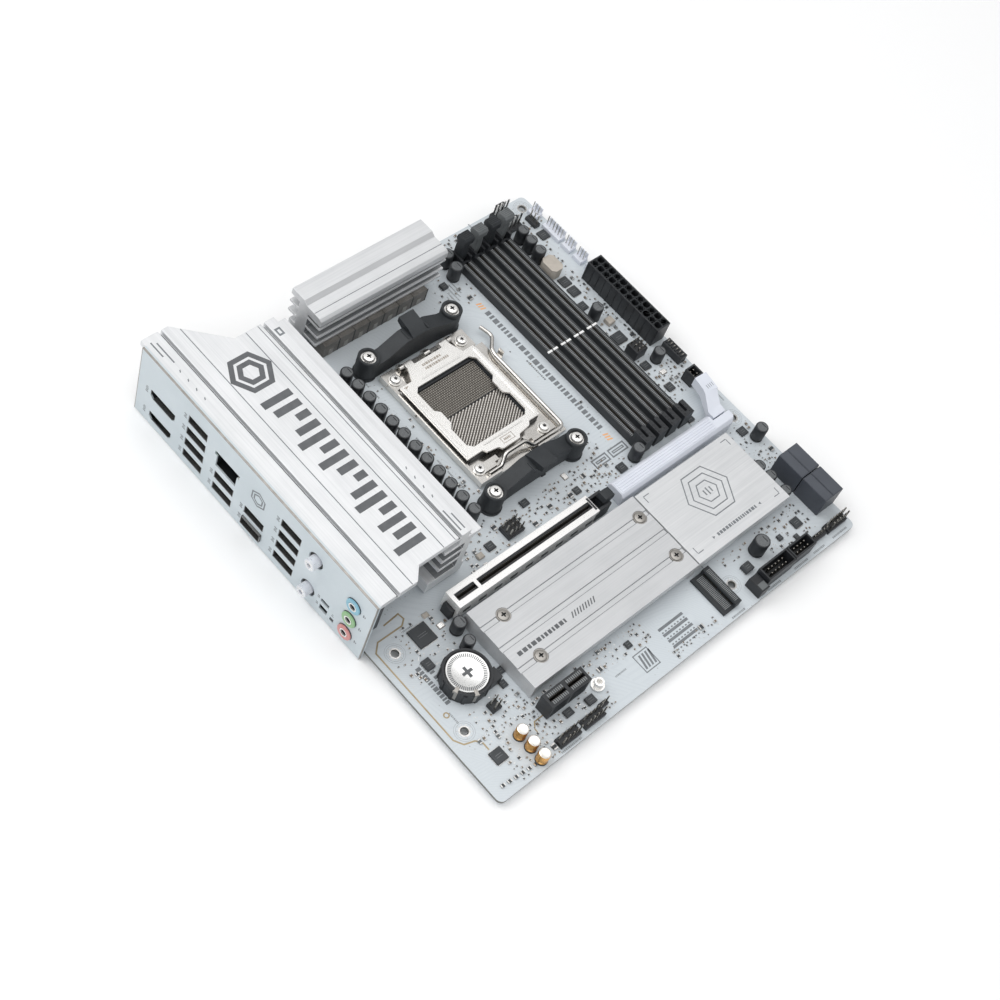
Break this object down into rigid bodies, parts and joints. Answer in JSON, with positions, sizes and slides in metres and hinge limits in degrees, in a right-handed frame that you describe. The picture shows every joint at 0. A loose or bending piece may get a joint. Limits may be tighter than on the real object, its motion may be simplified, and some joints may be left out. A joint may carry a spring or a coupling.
{
  "type": "computer motherboard",
  "caption": "Micro-ATX computer motherboard with a screwed-down processor socket, memory sockets with latches, ribbed heatsinks and a fixed rear port plate.",
  "frame": {"origin": "centre of the bounding box in plan, at the lowest face (the lower lip of the rear port plate and the face of the socket back plate)", "axes": "+Z out of the component side of the board; -X toward the rear port plate; +Y toward the board edge with the power-stage heatsink"},
  "size_m": [0.2508, 0.251, 0.0444],
  "materials": {
    "board": "pale silver-white solder mask, satin",
    "aluminium": "brushed, pale",
    "plate": "pale blue-grey powder coat",
    "steel": "bright nickel plate",
    "dark_steel": "dark nickel screws",
    "black_plastic": "fine matt moulding",
    "white_plastic": "satin white with a lavender tint",
    "port_shell": "plated socket shells",
    "jack_plastic": "matt moulding with coloured rings",
    "slate_plastic": "matt slate grey",
    "cell": "spun steel",
    "choke": "pressed powder, grey-brown",
    "can": "black sleeve with a grey top",
    "gold": "gold plate",
    "ink": "printed marks",
    "beige_plastic": "matt natural nylon"
  },
  "bodies": {
    "board": {"pcb": "board", "rear_heatsink": "aluminium", "top_heatsink": "aluminium", "m2_heatsink": "aluminium", "chipset_heatsink": "aluminium", "io_plate": "plate", "socket_backplate": "steel", "socket_frame": "steel", "pcie_x16_armour": "steel", "m2_standoff": "steel", "bracket_screw_1": "steel", "bracket_screw_2": "steel", "bracket_screw_3": "steel", "bracket_screw_4": "steel", "m2_screw_1": "dark_steel", "m2_screw_2": "dark_steel", "m2_screw_3": "dark_steel", "m2_screw_4": "dark_steel", "cpu_socket": "black_plastic", "cooler_bracket_top": "black_plastic", "cooler_bracket_bottom": "black_plastic", "pcie_x16_slot": "black_plastic", "pcie_x1_slot": "black_plastic", "atx_power_24pin": "black_plastic", "eps_power_8pin": "black_plastic", "eps_power_4pin": "black_plastic", "bottom_headers": "black_plastic", "fan_headers": "black_plastic", "button_header": "black_plastic", "battery_holder": "black_plastic", "dimm_slot_1": "black_plastic", "dimm_slot_2": "black_plastic", "dimm_slot_3": "black_plastic", "dimm_slot_4": "black_plastic", "release_channel": "white_plastic", "radio_module": "white_plastic", "video_block": "port_shell", "usb_quad_block_1": "port_shell", "usb_quad_block_2": "port_shell", "lan_usb_block": "port_shell", "usb_dual_block": "port_shell", "small_port_block": "port_shell", "audio_jack_block": "jack_plastic", "sata_block_1": "slate_plastic", "sata_block_2": "slate_plastic", "m2_socket_lower": "slate_plastic", "m2_socket_upper": "slate_plastic", "battery": "cell", "choke_bank_top": "choke", "choke_bank_rear": "choke", "capacitor_row": "can"},
    "lever": {"socket_lever": "steel"},
    "load_plate": {"load_plate": "steel"},
    "release_button": {"release_button": "white_plastic"},
    "card_latch": {"pcie_latch": "black_plastic"},
    "bios_button": {"bios_button": "black_plastic"},
    "memory_latch_1": {"dimm_latch_1": "black_plastic"},
    "memory_latch_2": {"dimm_latch_2": "black_plastic"},
    "memory_latch_3": {"dimm_latch_3": "black_plastic"},
    "memory_latch_4": {"dimm_latch_4": "black_plastic"}
  },
  "joints": [
    {"name": "lever_hinge", "type": "hinge", "parent": "board", "child": "lever", "pos_m": [0.00753, -0.0015, 0.00741], "axis": [1, 0, 0], "range_deg": [0, 120]},
    {"name": "load_plate_hinge", "type": "hinge", "parent": "board", "child": "load_plate", "pos_m": [0.00753, 0.0667, 0.00901], "axis": [-1, 0, 0], "range_deg": [0, 95]},
    {"name": "release_slide", "type": "slide", "parent": "board", "child": "release_button", "axis": [0, 0, -1], "range_m": [0, 0.003], "stiffness_N_per_m": 300, "springref_m": -0.002},
    {"name": "card_latch_hinge", "type": "hinge", "parent": "board", "child": "card_latch", "pos_m": [0.02103, -0.044, 0.00601], "axis": [0, 1, 0], "range_deg": [0, 20]},
    {"name": "bios_slide", "type": "slide", "parent": "board", "child": "bios_button", "axis": [1, 0, 0], "range_m": [0, 0.0008], "stiffness_N_per_m": 400, "springref_m": -0.001},
    {"name": "memory_latch_hinge_1", "type": "hinge", "parent": "board", "child": "memory_latch_1", "pos_m": [0.06473, 0.1039, 0.00681], "axis": [-1, 0, 0], "range_deg": [0, 25]},
    {"name": "memory_latch_hinge_2", "type": "hinge", "parent": "board", "child": "memory_latch_2", "pos_m": [0.07407, 0.1039, 0.00681], "axis": [-1, 0, 0], "range_deg": [0, 25]},
    {"name": "memory_latch_hinge_3", "type": "hinge", "parent": "board", "child": "memory_latch_3", "pos_m": [0.08341, 0.1039, 0.00681], "axis": [-1, 0, 0], "range_deg": [0, 25]},
    {"name": "memory_latch_hinge_4", "type": "hinge", "parent": "board", "child": "memory_latch_4", "pos_m": [0.09275, 0.1039, 0.00681], "axis": [-1, 0, 0], "range_deg": [0, 25]}
  ],
  "couplings": [
    {"joint": "card_latch_hinge", "follows": "release_slide", "rad_per_m": 100}
  ]
}
